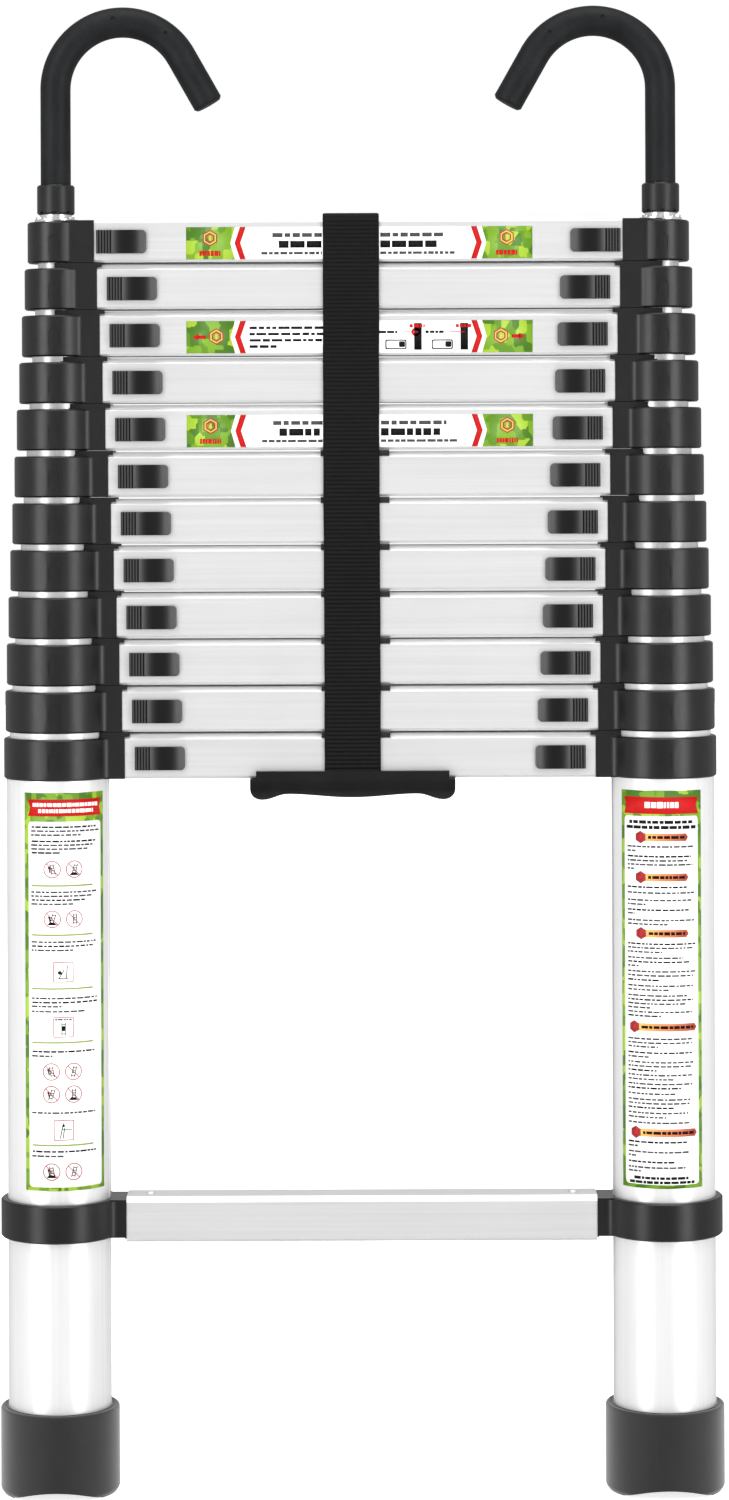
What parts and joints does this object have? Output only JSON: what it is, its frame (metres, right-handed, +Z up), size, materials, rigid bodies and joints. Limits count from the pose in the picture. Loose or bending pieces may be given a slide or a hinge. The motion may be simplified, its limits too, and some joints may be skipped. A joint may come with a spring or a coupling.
{
  "type": "telescoping ladder",
  "caption": "Telescoping access ladder stored closed, with nested tube sections, sprung thumb latches on each rung, a fixed bottom rung, swivel hooks, a carrying grip and a strap.",
  "frame": {"origin": "on the floor, midway between the two feet, on the plane through both rail axes", "axes": "+Z up along the rails; +X to the right as seen from the front, along the rungs; the front with the thumb slides faces -Y"},
  "size_m": [0.4786, 0.0786, 0.9798],
  "materials": {
    "tube_aluminium": "satin",
    "collar_plastic": "satin",
    "latch_plastic": "satin",
    "rubber": "matt",
    "hook_steel": "satin",
    "hook_rubber": "satin",
    "webbing": "woven"
  },
  "bodies": {
    "base": {"tubes_and_rung_12": "tube_aluminium", "collars_12": "collar_plastic", "bottom_rung": "tube_aluminium", "bottom_collars": "collar_plastic", "rubber_feet": "rubber", "carry_handle": "collar_plastic"},
    "section_11": {"tubes_and_rung_11": "tube_aluminium", "collars_11": "collar_plastic"},
    "section_10": {"tubes_and_rung_10": "tube_aluminium", "collars_10": "collar_plastic"},
    "section_09": {"tubes_and_rung_09": "tube_aluminium", "collars_09": "collar_plastic"},
    "section_08": {"tubes_and_rung_08": "tube_aluminium", "collars_08": "collar_plastic"},
    "section_07": {"tubes_and_rung_07": "tube_aluminium", "collars_07": "collar_plastic"},
    "section_06": {"tubes_and_rung_06": "tube_aluminium", "collars_06": "collar_plastic"},
    "section_05": {"tubes_and_rung_05": "tube_aluminium", "collars_05": "collar_plastic"},
    "section_04": {"tubes_and_rung_04": "tube_aluminium", "collars_04": "collar_plastic"},
    "section_03": {"tubes_and_rung_03": "tube_aluminium", "collars_03": "collar_plastic"},
    "section_02": {"tubes_and_rung_02": "tube_aluminium", "collars_02": "collar_plastic"},
    "section_01": {"tubes_and_rung_01": "tube_aluminium", "collars_01": "collar_plastic", "hook_sockets": "tube_aluminium", "strap": "webbing"},
    "latch_left_01": {"latch_left_01": "latch_plastic"},
    "latch_right_01": {"latch_right_01": "latch_plastic"},
    "latch_left_02": {"latch_left_02": "latch_plastic"},
    "latch_right_02": {"latch_right_02": "latch_plastic"},
    "latch_left_03": {"latch_left_03": "latch_plastic"},
    "latch_right_03": {"latch_right_03": "latch_plastic"},
    "latch_left_04": {"latch_left_04": "latch_plastic"},
    "latch_right_04": {"latch_right_04": "latch_plastic"},
    "latch_left_05": {"latch_left_05": "latch_plastic"},
    "latch_right_05": {"latch_right_05": "latch_plastic"},
    "latch_left_06": {"latch_left_06": "latch_plastic"},
    "latch_right_06": {"latch_right_06": "latch_plastic"},
    "latch_left_07": {"latch_left_07": "latch_plastic"},
    "latch_right_07": {"latch_right_07": "latch_plastic"},
    "latch_left_08": {"latch_left_08": "latch_plastic"},
    "latch_right_08": {"latch_right_08": "latch_plastic"},
    "latch_left_09": {"latch_left_09": "latch_plastic"},
    "latch_right_09": {"latch_right_09": "latch_plastic"},
    "latch_left_10": {"latch_left_10": "latch_plastic"},
    "latch_right_10": {"latch_right_10": "latch_plastic"},
    "latch_left_11": {"latch_left_11": "latch_plastic"},
    "latch_right_11": {"latch_right_11": "latch_plastic"},
    "latch_left_12": {"latch_left_12": "latch_plastic"},
    "latch_right_12": {"latch_right_12": "latch_plastic"},
    "hook_left": {"hook_stem_left": "hook_steel", "hook_sleeve_left": "hook_rubber"},
    "hook_nut_left": {"hook_nut_left": "collar_plastic"},
    "hook_right": {"hook_stem_right": "hook_steel", "hook_sleeve_right": "hook_rubber"},
    "hook_nut_right": {"hook_nut_right": "collar_plastic"}
  },
  "joints": [
    {"name": "section_11_slide", "type": "slide", "parent": "base", "child": "section_11", "axis": [0, 0, 1], "range_m": [0, 0.2739]},
    {"name": "section_10_slide", "type": "slide", "parent": "section_11", "child": "section_10", "axis": [0, 0, 1], "range_m": [0, 0.2739]},
    {"name": "section_09_slide", "type": "slide", "parent": "section_10", "child": "section_09", "axis": [0, 0, 1], "range_m": [0, 0.2739]},
    {"name": "section_08_slide", "type": "slide", "parent": "section_09", "child": "section_08", "axis": [0, 0, 1], "range_m": [0, 0.2739]},
    {"name": "section_07_slide", "type": "slide", "parent": "section_08", "child": "section_07", "axis": [0, 0, 1], "range_m": [0, 0.2739]},
    {"name": "section_06_slide", "type": "slide", "parent": "section_07", "child": "section_06", "axis": [0, 0, 1], "range_m": [0, 0.2739]},
    {"name": "section_05_slide", "type": "slide", "parent": "section_06", "child": "section_05", "axis": [0, 0, 1], "range_m": [0, 0.2739]},
    {"name": "section_04_slide", "type": "slide", "parent": "section_05", "child": "section_04", "axis": [0, 0, 1], "range_m": [0, 0.2739]},
    {"name": "section_03_slide", "type": "slide", "parent": "section_04", "child": "section_03", "axis": [0, 0, 1], "range_m": [0, 0.2739]},
    {"name": "section_02_slide", "type": "slide", "parent": "section_03", "child": "section_02", "axis": [0, 0, 1], "range_m": [0, 0.2739]},
    {"name": "section_01_slide", "type": "slide", "parent": "section_02", "child": "section_01", "axis": [0, 0, 1], "range_m": [0, 0.2739]},
    {"name": "hook_left_swivel", "type": "hinge", "parent": "section_01", "child": "hook_left", "pos_m": [-0.2, 0, 0.8252], "axis": [0, 0, 1], "continuous": true},
    {"name": "hook_nut_left_turn", "type": "hinge", "parent": "section_01", "child": "hook_nut_left", "pos_m": [-0.2, 0, 0.8524], "axis": [0, 0, 1], "continuous": true},
    {"name": "hook_right_swivel", "type": "hinge", "parent": "section_01", "child": "hook_right", "pos_m": [0.2, 0, 0.8252], "axis": [0, 0, 1], "continuous": true},
    {"name": "hook_nut_right_turn", "type": "hinge", "parent": "section_01", "child": "hook_nut_right", "pos_m": [0.2, 0, 0.8524], "axis": [0, 0, 1], "continuous": true},
    {"name": "latch_left_01_slide", "type": "slide", "parent": "section_01", "child": "latch_left_01", "axis": [1, 0, 0], "range_m": [0, 0.0085], "stiffness_N_per_m": 500, "springref_m": -0.01},
    {"name": "latch_right_01_slide", "type": "slide", "parent": "section_01", "child": "latch_right_01", "axis": [-1, 0, 0], "range_m": [0, 0.0085], "stiffness_N_per_m": 500, "springref_m": -0.01},
    {"name": "latch_left_02_slide", "type": "slide", "parent": "section_02", "child": "latch_left_02", "axis": [1, 0, 0], "range_m": [0, 0.004], "stiffness_N_per_m": 500, "springref_m": -0.01},
    {"name": "latch_right_02_slide", "type": "slide", "parent": "section_02", "child": "latch_right_02", "axis": [-1, 0, 0], "range_m": [0, 0.004], "stiffness_N_per_m": 500, "springref_m": -0.01},
    {"name": "latch_left_03_slide", "type": "slide", "parent": "section_03", "child": "latch_left_03", "axis": [1, 0, 0], "range_m": [0, 0.004], "stiffness_N_per_m": 500, "springref_m": -0.01},
    {"name": "latch_right_03_slide", "type": "slide", "parent": "section_03", "child": "latch_right_03", "axis": [-1, 0, 0], "range_m": [0, 0.004], "stiffness_N_per_m": 500, "springref_m": -0.01},
    {"name": "latch_left_04_slide", "type": "slide", "parent": "section_04", "child": "latch_left_04", "axis": [1, 0, 0], "range_m": [0, 0.004], "stiffness_N_per_m": 500, "springref_m": -0.01},
    {"name": "latch_right_04_slide", "type": "slide", "parent": "section_04", "child": "latch_right_04", "axis": [-1, 0, 0], "range_m": [0, 0.004], "stiffness_N_per_m": 500, "springref_m": -0.01},
    {"name": "latch_left_05_slide", "type": "slide", "parent": "section_05", "child": "latch_left_05", "axis": [1, 0, 0], "range_m": [0, 0.004], "stiffness_N_per_m": 500, "springref_m": -0.01},
    {"name": "latch_right_05_slide", "type": "slide", "parent": "section_05", "child": "latch_right_05", "axis": [-1, 0, 0], "range_m": [0, 0.004], "stiffness_N_per_m": 500, "springref_m": -0.01},
    {"name": "latch_left_06_slide", "type": "slide", "parent": "section_06", "child": "latch_left_06", "axis": [1, 0, 0], "range_m": [0, 0.004], "stiffness_N_per_m": 500, "springref_m": -0.01},
    {"name": "latch_right_06_slide", "type": "slide", "parent": "section_06", "child": "latch_right_06", "axis": [-1, 0, 0], "range_m": [0, 0.004], "stiffness_N_per_m": 500, "springref_m": -0.01},
    {"name": "latch_left_07_slide", "type": "slide", "parent": "section_07", "child": "latch_left_07", "axis": [1, 0, 0], "range_m": [0, 0.004], "stiffness_N_per_m": 500, "springref_m": -0.01},
    {"name": "latch_right_07_slide", "type": "slide", "parent": "section_07", "child": "latch_right_07", "axis": [-1, 0, 0], "range_m": [0, 0.004], "stiffness_N_per_m": 500, "springref_m": -0.01},
    {"name": "latch_left_08_slide", "type": "slide", "parent": "section_08", "child": "latch_left_08", "axis": [1, 0, 0], "range_m": [0, 0.004], "stiffness_N_per_m": 500, "springref_m": -0.01},
    {"name": "latch_right_08_slide", "type": "slide", "parent": "section_08", "child": "latch_right_08", "axis": [-1, 0, 0], "range_m": [0, 0.004], "stiffness_N_per_m": 500, "springref_m": -0.01},
    {"name": "latch_left_09_slide", "type": "slide", "parent": "section_09", "child": "latch_left_09", "axis": [1, 0, 0], "range_m": [0, 0.004], "stiffness_N_per_m": 500, "springref_m": -0.01},
    {"name": "latch_right_09_slide", "type": "slide", "parent": "section_09", "child": "latch_right_09", "axis": [-1, 0, 0], "range_m": [0, 0.004], "stiffness_N_per_m": 500, "springref_m": -0.01},
    {"name": "latch_left_10_slide", "type": "slide", "parent": "section_10", "child": "latch_left_10", "axis": [1, 0, 0], "range_m": [0, 0.004], "stiffness_N_per_m": 500, "springref_m": -0.01},
    {"name": "latch_right_10_slide", "type": "slide", "parent": "section_10", "child": "latch_right_10", "axis": [-1, 0, 0], "range_m": [0, 0.004], "stiffness_N_per_m": 500, "springref_m": -0.01},
    {"name": "latch_left_11_slide", "type": "slide", "parent": "section_11", "child": "latch_left_11", "axis": [1, 0, 0], "range_m": [0, 0.004], "stiffness_N_per_m": 500, "springref_m": -0.01},
    {"name": "latch_right_11_slide", "type": "slide", "parent": "section_11", "child": "latch_right_11", "axis": [-1, 0, 0], "range_m": [0, 0.004], "stiffness_N_per_m": 500, "springref_m": -0.01},
    {"name": "latch_left_12_slide", "type": "slide", "parent": "base", "child": "latch_left_12", "axis": [1, 0, 0], "range_m": [0, 0.004], "stiffness_N_per_m": 500, "springref_m": -0.01},
    {"name": "latch_right_12_slide", "type": "slide", "parent": "base", "child": "latch_right_12", "axis": [-1, 0, 0], "range_m": [0, 0.004], "stiffness_N_per_m": 500, "springref_m": -0.01}
  ]
}
